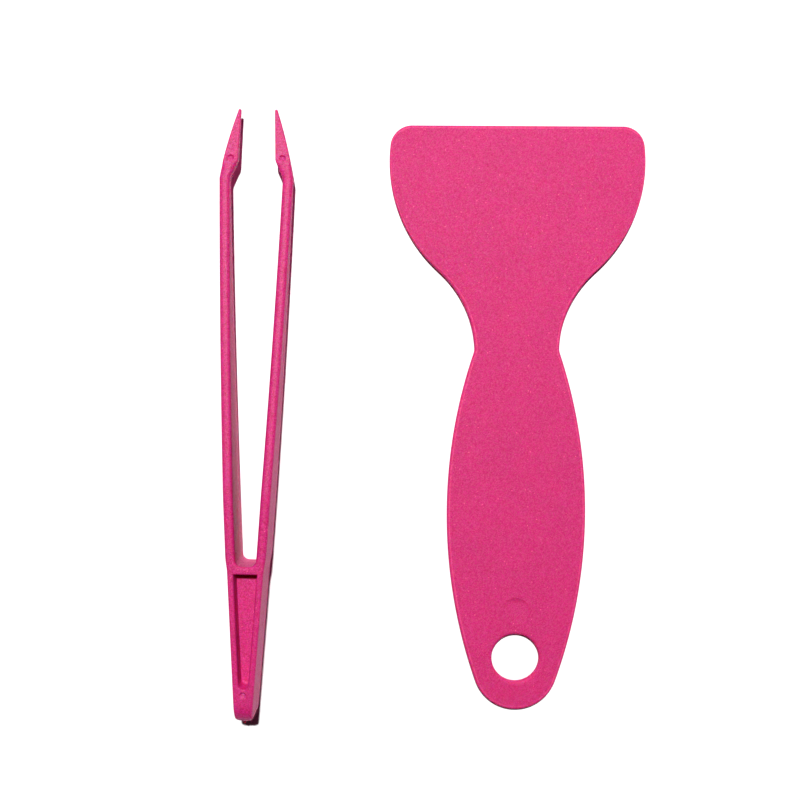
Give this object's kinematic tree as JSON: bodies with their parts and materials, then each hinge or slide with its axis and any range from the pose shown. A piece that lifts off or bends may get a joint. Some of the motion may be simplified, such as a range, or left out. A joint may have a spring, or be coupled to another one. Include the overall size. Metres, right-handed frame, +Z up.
{
  "type": "spudger and tweezers pair",
  "caption": "Flat wide-bladed spudger with a waisted handle and hanging hole, with matching fine-point moulded tweezers whose arms squeeze together.",
  "frame": {"origin": "centre of the pair's footprint, on the plane the tools lie on", "axes": "+Y along the spudger from its handle end to its blade, +Z up out of the plane the tools lie on, +X from the tweezers towards the spudger"},
  "size_m": [0.0852, 0.1206, 0.0094],
  "materials": {
    "spudger_plastic": "fine-grained matte pink plastic with a sparse fine glitter",
    "tweezers_plastic": "the same pink glitter plastic, with a coarser spark-eroded grain on the arms"
  },
  "bodies": {
    "spudger": {"spudger": "spudger_plastic"},
    "tweezers_heel": {"tweezers_heel": "tweezers_plastic"},
    "tweezers_right_arm": {"tweezers_right_arm": "tweezers_plastic"},
    "tweezers_left_arm": {"tweezers_left_arm": "tweezers_plastic"}
  },
  "joints": [
    {"name": "tweezers_lift", "type": "slide", "parent": "spudger", "child": "tweezers_heel", "axis": [0, 0, 1], "range_m": [0, 0.04]},
    {"name": "right_arm_squeeze", "type": "hinge", "parent": "tweezers_heel", "child": "tweezers_right_arm", "pos_m": [-0.03234, -0.01617, 0.0041], "axis": [0, 0, 1], "range_deg": [0, 2.5], "stiffness_Nm_per_rad": 0.2},
    {"name": "left_arm_squeeze", "type": "hinge", "parent": "tweezers_heel", "child": "tweezers_left_arm", "pos_m": [-0.03963, -0.01609, 0.0041], "axis": [0, 0, 1], "range_deg": [-2.5, 0], "stiffness_Nm_per_rad": 0.2}
  ],
  "couplings": [
    {"joint": "left_arm_squeeze", "follows": "right_arm_squeeze", "ratio": -1}
  ]
}
